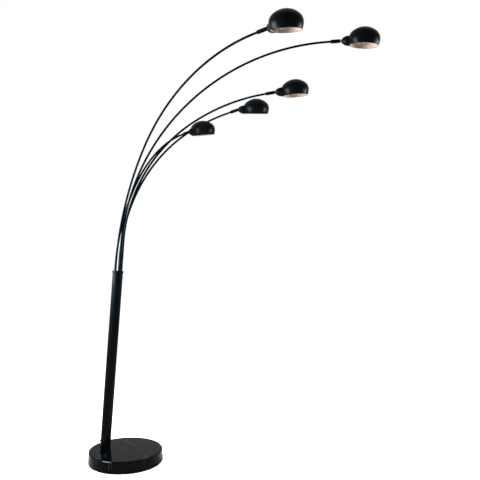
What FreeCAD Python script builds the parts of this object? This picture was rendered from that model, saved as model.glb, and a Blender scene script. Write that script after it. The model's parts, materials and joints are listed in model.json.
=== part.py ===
import FreeCAD, Part
import math
import os
import Sketcher
from FreeCAD import Placement, Rotation, Vector

# Five-arm floor lamp, in millimetres and degrees.
# Origin: the middle of the base's underside, on the floor. +Z is up, +X is the lamp's right as seen
# from its front, and +Y points to its back. The pole leans to the back right.

sizes = {
    # Marble base
    "base_radius": 184.0,
    "base_top_radius": 181.0,
    "base_top_height": 59.0,
    "base_edge_bevel": 3.5,
    "base_foot_bevel": 1.5,
    "felt_height": 3.0,
    "felt_inset": 4.0,
    # Pole, from the marble to the top of the cap
    "foot_left_share": 0.5951,
    "foot_back_share": 0.1848,
    "lean_deg": 4.85,
    "lean_azimuth_deg": 45.0,
    "pole_radius": 26.0,
    "pole_wall": 1.5,
    "pole_length": 886.5,
    "plug_clearance": 0.2,
    "foot_plug_height": 22.0,
    # Bolt and plate that tie the pole to the marble
    "web_height": 34.0,
    "recess_radius": 33.0,
    "plate_radius": 30.0,
    "plate_height": 5.0,
    "seat_gap": 0.2,
    "base_bolt_radius": 5.0,
    "base_bolt_gap": 0.5,
    "base_bolt_rise": 15.0,
    "base_bolt_head_width": 17.0,
    "base_bolt_head_height": 6.4,
    # Cap and stem guide
    "cap_radius": 28.0,
    "cap_height": 14.0,
    "cap_bevel": 1.0,
    "cap_plug_height": 18.0,
    "stem_circle_radius": 17.0,
    "first_stem_deg": -128.0,
    "stem_step_deg": 72.0,
    "stem_fit": 0.08,
    "guide_drop": 126.0,
    "guide_height": 14.0,
    "stem_seat_depth": 10.0,
    "stem_end_gap": 0.3,
    "lead_hole_radius": 2.8,
    "guide_bolt_radius": 3.0,
    "guide_bolt_gap": 0.15,
    "guide_bolt_grip": 20.0,
    "guide_bolt_head_width": 10.0,
    "guide_bolt_head_height": 4.0,
    "cap_screw_radius": 2.0,
    "cap_screw_gap": 0.15,
    "cap_screw_depth": 7.0,
    "cap_screw_head_radius": 3.5,
    "cap_screw_head_height": 1.8,
    "cap_screw_drop": 9.0,
    "cap_screw_step_share": 2.5,
    # Way in of the mains lead
    "gland_rise": 28.5,
    "gland_azimuth_deg": 178.0,
    "gland_radius": 5.5,
    "gland_proud": 4.0,
    "gland_barrel_radius": 4.2,
    "gland_gap": 0.15,
    "gland_nut_width": 12.0,
    "gland_nut_height": 4.0,
    "lead_radius": 3.0,
    "lead_bend_radius": 30.0,
    "lead_offset": 14.0,
    "block_depth": 11.0,
    "block_width": 18.0,
    "block_height": 24.0,
    "terminal_radius": 1.8,
    "terminal_spacing": 9.0,
    # Arms
    "arm_radius": 5.0,
    "arm_wall": 1.2,
    "arm_end_length": 15.0,
    "tube_seat_depth": 18.0,
    "tube_seat_gap": 0.05,
    "sleeve_radius": 9.0,
    "sleeve_length": 47.0,
    "sleeve_bevel": 0.8,
    "sleeve_ring_length": 6.0,
    "ball_gap": 8.0,
    # Ball studs
    "ball_radius": 6.0,
    "neck_radius": 2.5,
    "journal_radius": 4.0,
    "journal_fit": 0.06,
    "flange_radius": 6.2,
    "flange_thickness": 3.4,
    "turning_gap": 0.3,
    "lead_bore_radius": 1.4,
    # Socket cups
    "lip_polar_deg": 60.0,
    "lip_radius": 7.0,
    "cup_radius": 23.5,
    "cup_nose_length": 25.0,
    "cup_wall": 2.0,
    "cup_block_end": 16.0,
    "cup_hollow_start_radius": 15.0,
    "cup_hollow_taper": 6.0,
    "nipple_radius": 5.0,
    "nipple_start": 9.0,
    "nipple_gap": 0.1,
    # Shades
    "dome_reach": 107.0,
    "dome_radius": 75.0,
    "dome_rise": 56.0,
    "dome_shoulder_radius": 45.0,
    "dome_wall": 1.0,
    "rim_radius": 68.0,
    "rim_depth": 31.0,
    "rim_drop": 23.0,
    "cope_gap": 0.25,
    # Lampholders and the rings that clamp the shades
    "holder_radius": 13.5,
    "holder_shoulder": 2.5,
    "holder_end": 60.0,
    "holder_bore_radius": 7.4,
    "holder_bore_depth": 24.0,
    "holder_hole_gap": 0.5,
    "ring_gap": 0.1,
    "ring_width": 4.5,
    "ring_depth": 11.0,
    # Bulbs
    "bulb_tip": 37.0,
    "bulb_contact_radius": 2.2,
    "bulb_contact_taper": 2.0,
    "bulb_base_radius": 6.9,
    "bulb_base_end": 60.5,
    "bulb_neck_radius": 9.0,
    "bulb_neck_taper": 2.0,
    "globe_centre": 92.0,
    "globe_radius": 19.0,
    "overrun": 5.0,
}

# Each arm rises straight from the cap, then bends over in two arcs that meet tangent.
# Its head's axis has its own azimuth and elevation, and the shade rolls about it.
arms = [
    {"azimuth_deg": -36.4, "straight": 20.0, "low_radius": 1327.0, "low_turn_deg": 26.9,
     "high_radius": 850.0, "high_turn_deg": 55.6,
     "head_azimuth_deg": -46.0, "head_elevation_deg": -6.2, "head_roll_deg": -8.4},
    {"azimuth_deg": -11.3, "straight": 129.0, "low_radius": 1045.0, "low_turn_deg": 43.2,
     "high_radius": 1051.0, "high_turn_deg": 43.8,
     "head_azimuth_deg": -17.8, "head_elevation_deg": -5.0, "head_roll_deg": -5.0},
    {"azimuth_deg": 9.4, "straight": 147.0, "low_radius": 846.0, "low_turn_deg": 50.5,
     "high_radius": 1068.0, "high_turn_deg": 23.2,
     "head_azimuth_deg": 6.5, "head_elevation_deg": 4.2, "head_roll_deg": -5.5},
    {"azimuth_deg": 31.2, "straight": 67.0, "low_radius": 924.0, "low_turn_deg": 51.5,
     "high_radius": 1454.0, "high_turn_deg": 11.4,
     "head_azimuth_deg": 14.4, "head_elevation_deg": 2.8, "head_roll_deg": -12.1},
    {"azimuth_deg": 57.0, "straight": 20.0, "low_radius": 967.0, "low_turn_deg": 31.6,
     "high_radius": 795.0, "high_turn_deg": 32.3,
     "head_azimuth_deg": 44.9, "head_elevation_deg": 9.2, "head_roll_deg": -3.3},
]
for number, arm in enumerate(arms, 1):
    for name, value in arm.items():
        sizes[f"arm_{number}_{name}"] = value

doc = FreeCAD.newDocument("floor_lamp")
sheet = doc.addObject("Spreadsheet::Sheet", "Sizes")
for row, (alias, value) in enumerate(sizes.items(), 1):
    sheet.set(f"A{row}", alias)
    sheet.set(f"B{row}", str(value))
    sheet.setAlias(f"B{row}", alias)
doc.recompute()


class Size:
    """A value worked out from the sheet, with the expression that binds a property to it."""

    def __init__(self, value, text):
        self.value = value
        self.text = text

    def __add__(self, other):
        other = as_size(other)
        return Size(self.value + other.value, f"({self.text} + {other.text})")

    def __sub__(self, other):
        other = as_size(other)
        return Size(self.value - other.value, f"({self.text} - {other.text})")

    def __mul__(self, other):
        other = as_size(other)
        return Size(self.value * other.value, f"({self.text} * {other.text})")

    def __truediv__(self, other):
        other = as_size(other)
        return Size(self.value / other.value, f"({self.text} / {other.text})")

    def __neg__(self):
        return Size(-self.value, f"(0 - {self.text})")

    def __rsub__(self, other):
        return as_size(other) - self

    __radd__ = __add__
    __rmul__ = __mul__


def as_size(item):
    return item if isinstance(item, Size) else Size(float(item), f"({item})")


def root(size):
    return Size(math.sqrt(size.value), f"sqrt({size.text})")


def sine(size):
    return Size(math.sin(math.radians(size.value)), f"sin({size.text})")


def cosine(size):
    return Size(math.cos(math.radians(size.value)), f"cos({size.text})")


class Cells:
    """The sheet's cells by name."""

    def __getattr__(self, alias):
        return Size(float(sheet.get(alias)), f"Sizes.{alias}")


at = Cells()


def bind(item, **values):
    for name, value in values.items():
        item.setExpression(name, as_size(value).text)


def origin_plane(body, role):
    return next(item for item in body.Origin.OriginFeatures if item.Role == role)


def new_body(label, placement=None):
    body = doc.addObject("PartDesign::Body", label)
    body.Label = label
    body.Placement = placement or Placement()
    return body


def new_sketch(body, name, role, shift=None, turn=None):
    """A sketch on one of the body's own planes, moved within it by named sizes."""
    sketch = body.newObject("Sketcher::SketchObject", name)
    sketch.AttachmentSupport = [(origin_plane(body, role), "")]
    sketch.MapMode = "FlatFace"
    if turn:
        sketch.AttachmentOffset = Placement(Vector(), turn)
    for axis, value in (shift or {}).items():
        sketch.setExpression(f"AttachmentOffset.Base.{axis}", value.text)
    return sketch


def fix_point(sketch, place, edge, end):
    """Ties one end of an edge to its coordinates."""
    for kind, value in zip(("DistanceX", "DistanceY"), place):
        value = as_size(value)
        index = sketch.addConstraint(Sketcher.Constraint(kind, -1, 1, edge, end, value.value))
        sketch.setExpression(f"Constraints[{index}]", value.text)


def draw(sketch, points, arcs=None, closed=True):
    """Lines and arcs through the points; arcs holds, by edge, a radius and its centre's side."""
    arcs = arcs or {}
    spots = [Vector(as_size(x).value, as_size(y).value, 0) for x, y in points]
    count = len(points) if closed else len(points) - 1
    ends = []
    for index in range(count):
        start = spots[index]
        stop = spots[(index + 1) % len(spots)]
        if index not in arcs:
            sketch.addGeometry(Part.LineSegment(start, stop), False)
            ends.append((1, 2))
            continue
        radius, side = arcs[index]
        chord = stop - start
        rise = math.sqrt(max(radius.value ** 2 - (chord.Length / 2) ** 2, 0))
        left = Vector(-chord.y, chord.x, 0) / chord.Length
        centre = (start + stop) / 2 + left * (rise * side)
        first, last = (start, stop) if side > 0 else (stop, start)
        low = math.atan2(first.y - centre.y, first.x - centre.x)
        high = math.atan2(last.y - centre.y, last.x - centre.x)
        if high < low:
            high += 2 * math.pi
        circle = Part.Circle(centre, Vector(0, 0, 1), radius.value)
        sketch.addGeometry(Part.ArcOfCircle(circle, low, high), False)
        ends.append((1, 2) if side > 0 else (2, 1))
    for index in range(count):
        fix_point(sketch, points[index], index, ends[index][0])
        if index + 1 < count:
            sketch.addConstraint(Sketcher.Constraint(
                "Coincident", index, ends[index][1], index + 1, ends[index + 1][0]))
    if closed:
        sketch.addConstraint(Sketcher.Constraint("Coincident", count - 1, ends[-1][1], 0, ends[0][0]))
    else:
        fix_point(sketch, points[-1], count - 1, ends[-1][1])
    for index, (radius, side) in arcs.items():
        number = sketch.addConstraint(Sketcher.Constraint("Radius", index, radius.value))
        sketch.setExpression(f"Constraints[{number}]", radius.text)
    return sketch


def draw_circle(sketch, radius, x=0, y=0):
    x, y = as_size(x), as_size(y)
    circle = Part.Circle(Vector(x.value, y.value, 0), Vector(0, 0, 1), radius.value)
    edge = sketch.addGeometry(circle, False)
    fix_point(sketch, (x, y), edge, 3)
    number = sketch.addConstraint(Sketcher.Constraint("Radius", edge, radius.value))
    sketch.setExpression(f"Constraints[{number}]", radius.text)
    return sketch


def turned(body, sketch, axis, kind="PartDesign::Revolution"):
    """Revolves a sketch about its own H_Axis or V_Axis, adding or cutting."""
    feature = body.newObject(kind, "Turned")
    feature.Profile = sketch
    feature.ReferenceAxis = (sketch, [axis])
    feature.Angle = 360.0
    sketch.Visibility = False
    doc.recompute()
    return feature



def origin_axis(body, role):
    return next(item for item in body.Origin.OriginFeatures if item.Role == role)


def padded(body, sketch, length):
    pad = body.newObject("PartDesign::Pad", "Pad")
    pad.Profile = sketch
    bind(pad, Length=length)
    sketch.Visibility = False
    doc.recompute()
    return pad


def pocketed(body, sketch, length, upward=False, both=False):
    """Cuts along the sketch's normal when upward, and against it otherwise."""
    before = body.Shape.Volume
    pocket = body.newObject("PartDesign::Pocket", "Pocket")
    pocket.Profile = sketch
    pocket.Reversed = upward
    pocket.SideType = "Symmetric" if both else "One side"
    bind(pocket, Length=length)
    sketch.Visibility = False
    doc.recompute()
    assert body.Shape.Volume < before, f"{body.Label}: {sketch.Label} cuts nothing"
    return pocket


def repeated(body, features, count, step_deg):
    """Repeats features about the body's Z axis."""
    pattern = body.newObject("PartDesign::PolarPattern", "Pattern")
    pattern.Originals = features
    pattern.Axis = (origin_axis(body, "Z_Axis"), [""])
    pattern.Mode = "Spacing"
    pattern.Occurrences = count
    bind(pattern, Offset=step_deg)
    body.Tip = pattern
    doc.recompute()
    return pattern


def turned_body(label, placement, points, arcs=None, axis="V_Axis"):
    """One piece turned on a lathe, from half its section in the XZ plane."""
    body = new_body(label, placement)
    sketch = draw(new_sketch(body, "HalfSection", "XZ_Plane"), points, arcs)
    turned(body, sketch, axis)
    return body


def piped_body(label, placement, section, points, arcs):
    """A round rod or tube along a path in the XZ plane; section draws it at the path's start."""
    body = new_body(label, placement)
    path = draw(new_sketch(body, "Path", "XZ_Plane"), points, arcs, closed=False)
    profile = section(body)
    doc.recompute()
    pipe = body.newObject("PartDesign::AdditivePipe", "Pipe")
    pipe.Profile = profile
    pipe.Spine = path
    path.Visibility = False
    profile.Visibility = False
    doc.recompute()
    print(label, "path", round(path.Shape.Length, 2), "volume", round(body.Shape.Volume, 1))
    return body


def radial_sketch(body, name, azimuth, reach):
    """A sketch that faces outward from the body's Z axis, at a distance from it."""
    turn = Rotation(Vector(0, 1, 0), azimuth.value)
    shift = {"x": reach * sine(azimuth), "z": reach * cosine(azimuth)}
    return new_sketch(body, name, "YZ_Plane", shift, turn)


def hex_bolt(label, placement, radius, length, head_width, head_height):
    """A hexagon bolt; its head's seat is at the origin and its shank points along +Z."""
    head = doc.addObject("Part::Prism", f"{label}_head")
    head.Polygon = 6
    bind(head, Circumradius=head_width / root(as_size(3)), Height=head_height)
    head.setExpression("Placement.Base.z", (-head_height).text)
    shank = doc.addObject("Part::Cylinder", f"{label}_shank")
    bind(shank, Radius=radius, Height=length)
    bolt = doc.addObject("Part::MultiFuse", label)
    bolt.Shapes = [head, shank]
    bolt.Placement = placement
    return bolt


def heading(azimuth, elevation):
    """Unit vector from an azimuth about +Z and an elevation, in degrees."""
    flat = math.cos(math.radians(elevation))
    east = flat * math.cos(math.radians(azimuth))
    north = flat * math.sin(math.radians(azimuth))
    return Vector(east, north, math.sin(math.radians(elevation)))


# Frames: the pole's, with Z up its axis, and the cap's, whose origin is the middle of its top.
upright_deg = 90.0
lean_side = heading(at.lean_azimuth_deg.value, 0)
lean_axis = heading(at.lean_azimuth_deg.value, upright_deg - at.lean_deg.value)
gland_side = heading(at.gland_azimuth_deg.value, 0)
foot_left = at.foot_left_share * at.base_radius
foot_back = at.foot_back_share * at.base_radius
foot = Vector(-foot_left.value, foot_back.value, at.base_top_height.value)
cap_top = foot + lean_axis * at.pole_length.value
pole_frame = Placement(foot, Rotation(lean_side, Vector(), lean_axis, "ZXY"))
lead_frame = Placement(foot, Rotation(gland_side, Vector(), lean_axis, "ZXY"))
cap_frame = Placement(cap_top, Rotation(Vector(1, 0, 0), Vector(), lean_axis, "ZXY"))

pole_bore = at.pole_radius - at.pole_wall
plug_radius = pole_bore - at.plug_clearance
stem_bore = at.arm_radius + at.stem_fit
stem_depth = at.guide_drop + at.stem_seat_depth - at.stem_end_gap
cap_foot = at.cap_height + at.cap_plug_height
guide_foot = at.guide_drop + at.guide_height
cap_screw_azimuth = at.first_stem_deg + at.cap_screw_step_share * at.stem_step_deg
cap_screw_count = 2


def below(frame, drop):
    """The frame moved down its own Z axis."""
    return frame * Placement(Vector(0, 0, -drop.value), Rotation())


def make_base():
    """Marble disc and felt, with the bolt's leaning bore and recess cut through both."""
    side_top = at.base_top_height - at.base_edge_bevel
    disc = turned_body("marble_disc", None, [
        (0, at.felt_height),
        (at.base_radius - at.base_foot_bevel, at.felt_height),
        (at.base_radius, at.felt_height + at.base_foot_bevel),
        (at.base_top_radius, side_top),
        (at.base_top_radius - at.base_edge_bevel, at.base_top_height),
        (0, at.base_top_height),
    ])
    bore = at.base_bolt_radius + at.base_bolt_gap
    reach = at.base_top_height + at.overrun
    way = turned_body("bolt_way", pole_frame, [
        (0, at.overrun), (bore, at.overrun), (bore, -at.web_height),
        (at.recess_radius, -at.web_height), (at.recess_radius, -reach), (0, -reach),
    ])
    felt_disc = doc.addObject("Part::Cylinder", "felt_disc")
    bind(felt_disc, Radius=at.base_radius - at.felt_inset, Height=at.felt_height)
    marble = doc.addObject("Part::Cut", "marble_base")
    marble.Base = disc
    marble.Tool = way
    felt = doc.addObject("Part::Cut", "base_felt")
    felt.Base = felt_disc
    felt.Tool = way
    return [marble, felt]


def cut_to_marble(body):
    """Trims a piece on the pole's axis level with the marble's top."""
    half = at.pole_radius + at.overrun
    slope = sine(at.lean_deg) / cosine(at.lean_deg)
    wedge = draw(new_sketch(body, "LevelCut", "XZ_Plane"), [
        (-half, -half * slope), (half, half * slope), (half, -half), (-half, -half),
    ])
    pocketed(body, wedge, 2 * half, both=True)


def make_base_fixings():
    plate_top = at.web_height + at.seat_gap
    bore = at.base_bolt_radius + at.base_bolt_gap
    plate = turned_body("clamp_plate", pole_frame, [
        (bore, -plate_top), (at.plate_radius, -plate_top),
        (at.plate_radius, -plate_top - at.plate_height), (bore, -plate_top - at.plate_height),
    ])
    head_seat = plate_top + at.plate_height + at.seat_gap
    bolt = hex_bolt("base_bolt", below(pole_frame, head_seat), at.base_bolt_radius,
                    head_seat + at.base_bolt_rise, at.base_bolt_head_width, at.base_bolt_head_height)
    tapped = at.base_bolt_radius + at.nipple_gap
    plug = turned_body("foot_plug", pole_frame, [
        (tapped, -at.overrun), (plug_radius, -at.overrun),
        (plug_radius, at.foot_plug_height), (tapped, at.foot_plug_height),
    ])
    cut_to_marble(plug)
    return [plate, bolt, plug]


def make_pole():
    """The tube, cut level at the marble, with the gland's hole and the cap screws' holes."""
    body = new_body("pole_tube", pole_frame)
    ring = new_sketch(body, "Ring", "XY_Plane", {"z": -at.overrun})
    draw_circle(ring, at.pole_radius)
    draw_circle(ring, pole_bore)
    padded(body, ring, at.pole_length - at.cap_height + at.overrun)
    cut_to_marble(body)
    start = pole_bore - at.overrun
    through = at.pole_wall + 2 * at.overrun
    hole = radial_sketch(body, "GlandHole", at.gland_azimuth_deg - at.lean_azimuth_deg, start)
    draw_circle(hole, at.gland_barrel_radius + at.gland_gap, 0, at.gland_rise)
    pocketed(body, hole, through, upward=True)
    drop = at.pole_length - at.cap_height - at.cap_screw_drop
    screw = radial_sketch(body, "ScrewHole", cap_screw_azimuth - at.lean_azimuth_deg, start)
    draw_circle(screw, at.cap_screw_radius + at.cap_screw_gap, 0, drop)
    first = pocketed(body, screw, through, upward=True)
    repeated(body, [first], cap_screw_count, at.stem_step_deg)
    return [body]


def stem_circle(body, name, radius, drop):
    """The first of the five round places on the stems' circle."""
    sketch = new_sketch(body, name, "XY_Plane", {"z": -drop})
    x = at.stem_circle_radius * cosine(at.first_stem_deg)
    y = at.stem_circle_radius * sine(at.first_stem_deg)
    return draw_circle(sketch, radius, x, y)


def make_cap():
    """Collar and plug, bored for the stems, tapped for the guide's bolt and the two screws."""
    body = turned_body("arm_cap", cap_frame, [
        (0, -cap_foot), (plug_radius, -cap_foot), (plug_radius, -at.cap_height),
        (at.cap_radius, -at.cap_height), (at.cap_radius, -at.cap_bevel),
        (at.cap_radius - at.cap_bevel, 0), (0, 0),
    ])
    tapped = new_sketch(body, "BoltHole", "XY_Plane", {"z": -cap_foot})
    draw_circle(tapped, at.guide_bolt_radius + at.guide_bolt_gap)
    pocketed(body, tapped, at.guide_bolt_grip + at.overrun, upward=True)
    start = plug_radius - at.cap_screw_depth
    screw = radial_sketch(body, "ScrewHole", cap_screw_azimuth, start)
    drop = at.cap_height + at.cap_screw_drop
    draw_circle(screw, at.cap_screw_radius + at.nipple_gap, 0, -drop)
    first = pocketed(body, screw, at.cap_screw_depth + at.overrun, upward=True)
    repeated(body, [first], cap_screw_count, at.stem_step_deg)
    holes = stem_circle(body, "StemHole", stem_bore, as_size(0))
    bore = pocketed(body, holes, cap_foot + at.overrun)
    repeated(body, [bore], len(arms), at.stem_step_deg)
    return [body]


def make_guide():
    """Disc deep in the pole; the stems stand in its blind seats and the leads pass below."""
    body = turned_body("stem_guide", cap_frame, [
        (at.guide_bolt_radius + at.guide_bolt_gap, -guide_foot), (plug_radius, -guide_foot),
        (plug_radius, -at.guide_drop),
        (at.guide_bolt_radius + at.guide_bolt_gap, -at.guide_drop),
    ])
    seat = pocketed(body, stem_circle(body, "StemSeat", stem_bore, at.guide_drop), at.stem_seat_depth)
    repeated(body, [seat], len(arms), at.stem_step_deg)
    lead_hole = stem_circle(body, "LeadHole", at.lead_hole_radius, at.guide_drop)
    hole = pocketed(body, lead_hole, at.guide_height + at.overrun)
    repeated(body, [hole], len(arms), at.stem_step_deg)
    head_seat = guide_foot + at.seat_gap
    bolt = hex_bolt("guide_bolt", below(cap_frame, head_seat), at.guide_bolt_radius,
                    head_seat - cap_foot + at.guide_bolt_grip,
                    at.guide_bolt_head_width, at.guide_bolt_head_height)
    return [body, bolt]


def make_cap_screws():
    """Two screws from the back, through the tube into the cap's plug."""
    tip = plug_radius - at.cap_screw_depth + at.seat_gap
    seat = at.pole_radius + at.seat_gap
    outer = seat + at.cap_screw_head_height
    screws = []
    for count in range(cap_screw_count):
        azimuth = cap_screw_azimuth.value + count * at.stem_step_deg.value
        side = cap_frame.Rotation.multVec(heading(azimuth, 0))
        drop = at.cap_height + at.cap_screw_drop
        place = Placement(below(cap_frame, drop).Base, Rotation(lean_axis, Vector(), side, "ZXY"))
        screws.append(turned_body(f"cap_screw_{count + 1}", place, [
            (0, tip), (at.cap_screw_radius, tip), (at.cap_screw_radius, seat),
            (at.cap_screw_head_radius, seat), (at.cap_screw_head_radius, outer), (0, outer),
        ]))
    group = doc.addObject("Part::Compound", "cap_screws")
    group.Links = screws
    return [group]


def make_wiring():
    """Gland low on the pole, the lead that it holds, and the block where the leads join."""
    bore = at.lead_radius + at.gland_gap
    flange = at.gland_nut_width / 2
    flange_face = root(pole_bore * pole_bore - flange * flange) - at.seat_gap
    head_face = at.pole_radius + at.gland_gap
    tip = at.pole_radius + at.gland_proud
    centre = lead_frame.multVec(Vector(0, 0, at.gland_rise.value))
    gland = turned_body("cable_gland", Placement(centre, Rotation(lean_axis, Vector(),
                        lead_frame.Rotation.multVec(Vector(1, 0, 0)), "ZXY")), [
        (bore, flange_face - at.gland_nut_height), (flange, flange_face - at.gland_nut_height),
        (flange, flange_face), (at.gland_barrel_radius, flange_face),
        (at.gland_barrel_radius, head_face), (at.gland_radius, head_face),
        (at.gland_radius, tip - at.cap_bevel), (at.gland_radius - at.cap_bevel, tip), (bore, tip),
    ])
    block_top = at.pole_length - guide_foot - at.seat_gap
    block_foot = block_top - at.block_height
    bend = at.lead_bend_radius

    def lead_section(body):
        sketch = new_sketch(body, "Section", "YZ_Plane", {"z": at.pole_radius})
        return draw_circle(sketch, at.lead_radius, 0, at.gland_rise)

    lead = piped_body("feed_lead", lead_frame, lead_section, [
        (at.pole_radius, at.gland_rise), (bend - at.lead_offset, at.gland_rise),
        (-at.lead_offset, at.gland_rise + bend), (-at.lead_offset, block_foot),
    ], {1: (bend, -1)})
    block = new_body("terminal_block", lead_frame)
    outline = new_sketch(block, "Outline", "XY_Plane", {"z": block_foot})
    near = at.block_depth / 2 - at.lead_offset
    far = -at.block_depth / 2 - at.lead_offset
    half = at.block_width / 2
    draw(outline, [(far, -half), (near, -half), (near, half), (far, half)])
    for side in (1, -1):
        draw_circle(outline, at.terminal_radius, -at.lead_offset, side * at.terminal_spacing / 2)
    padded(block, outline, at.block_height)
    return [gland, lead, block]


def arm_value(number, name):
    return getattr(at, f"arm_{number}_{name}")


def arm_path(number):
    """Corners of the arm's centreline in its own plane, from the socket up and over."""
    straight = arm_value(number, "straight")
    low, high = arm_value(number, "low_radius"), arm_value(number, "high_radius")
    first = arm_value(number, "low_turn_deg")
    whole = first + arm_value(number, "high_turn_deg")
    middle = (low * (1 - cosine(first)), straight + low * sine(first))
    bent = (middle[0] + high * (cosine(first) - cosine(whole)),
            middle[1] + high * (sine(whole) - sine(first)))
    return straight, middle, bent, whole


def arm_place(number):
    """The arm's frame: its socket on the cap, with Z up the pole and X where the arm goes."""
    angle = at.first_stem_deg + (number - 1) * at.stem_step_deg
    socket = cap_frame.multVec(heading(angle.value, 0) * at.stem_circle_radius.value)
    side = heading(arm_value(number, "azimuth_deg").value, 0)
    return Placement(socket, Rotation(side, Vector(), lean_axis, "ZXY"))


def ball_place(number):
    """The ball's centre, with X along the arm's end."""
    straight, middle, bent, whole = arm_path(number)
    place = arm_place(number)
    along = Vector(sine(whole).value, 0, cosine(whole).value)
    reach = at.arm_end_length.value + at.sleeve_length.value + at.ball_gap.value
    centre = place.multVec(Vector(bent[0].value, 0, bent[1].value) + along * reach)
    return Placement(centre, Rotation(place.Rotation.multVec(along), Vector(), Vector(0, 0, 1), "XZY"))


def head_place(number):
    """The ball's centre, with X along the cup and Z up the shade's axis."""
    azimuth = arm_value(number, "head_azimuth_deg").value
    elevation = arm_value(number, "head_elevation_deg").value
    roll = math.radians(arm_value(number, "head_roll_deg").value)
    along = heading(azimuth, elevation)
    level = heading(azimuth + upright_deg, 0)
    up = along.cross(level) * math.cos(roll) + level * math.sin(roll)
    return Placement(ball_place(number).Base, Rotation(along, Vector(), up, "XZY"))


def make_arm(number):
    straight, middle, bent, whole = arm_path(number)
    end_run = at.arm_end_length + at.tube_seat_depth
    tip = (bent[0] + end_run * sine(whole), bent[1] + end_run * cosine(whole))

    def tube_section(body):
        sketch = new_sketch(body, "Section", "XY_Plane", {"z": -stem_depth})
        draw_circle(sketch, at.arm_radius)
        return draw_circle(sketch, at.arm_radius - at.arm_wall)

    tube = piped_body(f"arm_tube_{number}", arm_place(number), tube_section,
                      [(0, -stem_depth), (0, straight), middle, bent, tip],
                      {1: (arm_value(number, "low_radius"), -1),
                       2: (arm_value(number, "high_radius"), -1)})
    place = ball_place(number)
    ring_back = -at.ball_gap - at.sleeve_ring_length
    back = -at.ball_gap - at.sleeve_length
    seat = at.arm_radius + at.tube_seat_gap
    recess = at.flange_radius + at.turning_gap
    shoulder = ring_back - at.flange_thickness - 2 * at.turning_gap
    sleeve = turned_body(f"arm_sleeve_{number}", place, [
        (back, seat), (back, at.sleeve_radius - at.sleeve_bevel),
        (back + at.sleeve_bevel, at.sleeve_radius), (ring_back, at.sleeve_radius),
        (ring_back, recess), (shoulder, recess), (shoulder, at.lead_bore_radius),
        (back + at.tube_seat_depth, at.lead_bore_radius), (back + at.tube_seat_depth, seat),
    ], axis="H_Axis")
    front = -at.ball_gap
    ring_seat = ring_back + at.seat_gap
    journal = at.journal_radius + at.journal_fit
    ring = turned_body(f"sleeve_ring_{number}", place, [
        (ring_seat, journal), (ring_seat, at.sleeve_radius),
        (front - at.sleeve_bevel, at.sleeve_radius), (front, at.sleeve_radius - at.sleeve_bevel),
        (front, journal),
    ], axis="H_Axis")
    return [tube, sleeve, ring]


def make_stud(number):
    """Ball, neck, journal and the flange that the sleeve's ring traps."""
    ring_back = at.seat_gap - at.ball_gap - at.sleeve_ring_length
    flange_front = ring_back - at.turning_gap
    flange_back = flange_front - at.flange_thickness
    ball_sq = at.ball_radius * at.ball_radius
    neck_start = -root(ball_sq - at.neck_radius * at.neck_radius)
    bore_end = root(ball_sq - at.lead_bore_radius * at.lead_bore_radius)
    return [turned_body(f"ball_stud_{number}", ball_place(number), [
        (flange_back, at.lead_bore_radius), (flange_back, at.flange_radius),
        (flange_front, at.flange_radius), (flange_front, at.journal_radius),
        (-at.ball_gap, at.journal_radius), (-at.ball_gap, at.neck_radius),
        (neck_start, at.neck_radius), (bore_end, at.lead_bore_radius),
    ], {6: (at.ball_radius, -1)}, axis="H_Axis")]


# The dome's half section: a crown arc and a shoulder arc that meet tangent, and a lower arc from
# the widest line in to the rim. An offset moves all three outward.
equator = at.rim_depth - at.rim_drop
shoulder_x = at.dome_radius - at.dome_shoulder_radius
crown_radius = ((shoulder_x * shoulder_x + at.dome_rise * at.dome_rise
                 - at.dome_shoulder_radius * at.dome_shoulder_radius)
                / (2 * (at.dome_rise - at.dome_shoulder_radius)))
rim_inset = at.dome_radius - at.rim_radius
skirt_radius = (rim_inset * rim_inset + at.rim_depth * at.rim_depth) / (2 * rim_inset)


def dome_points(offset):
    """Crown, where crown and shoulder meet, equator, and rim."""
    spread = crown_radius - at.dome_shoulder_radius
    reach = crown_radius + offset
    meet = (shoulder_x / spread * reach,
            equator + at.dome_rise - crown_radius + (crown_radius - at.dome_rise) / spread * reach)
    skirt = skirt_radius + offset
    rim = (at.dome_radius - skirt_radius + root(skirt * skirt - at.rim_depth * at.rim_depth), -at.rim_drop)
    return (0, equator + at.dome_rise + offset), meet, (at.dome_radius + offset, equator), rim


def make_cup(number):
    """Bullet-shaped cup: ball seat and lip behind, hollow inside, coped to the dome in front."""
    seat = at.ball_radius + at.turning_gap
    seat_start = root(seat * seat - at.lead_bore_radius * at.lead_bore_radius)
    lip_x = -seat * cosine(at.lip_polar_deg)
    nose_length = at.cup_nose_length - lip_x
    nose_rise = at.cup_radius - at.lip_radius
    nose = (nose_length * nose_length + nose_rise * nose_rise) / (2 * nose_rise)
    front = at.dome_reach - shoulder_x
    inner = at.cup_radius - at.cup_wall
    tapped = at.nipple_radius + at.nipple_gap
    body = turned_body(f"socket_cup_{number}", head_place(number), [
        (seat_start, at.lead_bore_radius), (lip_x, seat * sine(at.lip_polar_deg)),
        (lip_x, at.lip_radius), (at.cup_nose_length, at.cup_radius), (front, at.cup_radius),
        (front, inner), (at.cup_block_end + at.cup_hollow_taper, inner),
        (at.cup_block_end, at.cup_hollow_start_radius), (at.cup_block_end, tapped),
        (at.nipple_start, tapped), (at.nipple_start, at.lead_bore_radius),
    ], {0: (seat, 1), 2: (nose, -1)}, axis="H_Axis")
    cope = new_sketch(body, "Cope", "XZ_Plane", {"x": at.dome_reach})
    crown, meet, widest, rim = dome_points(at.cope_gap)
    depth = -at.rim_drop - at.overrun
    draw(cope, [crown, meet, widest, rim, (rim[0], depth), (0, depth)], {
        0: (crown_radius + at.cope_gap, -1), 1: (at.dome_shoulder_radius + at.cope_gap, -1),
        2: (skirt_radius + at.cope_gap, -1),
    })
    turned(body, cope, "V_Axis", "PartDesign::Groove")
    return body


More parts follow.
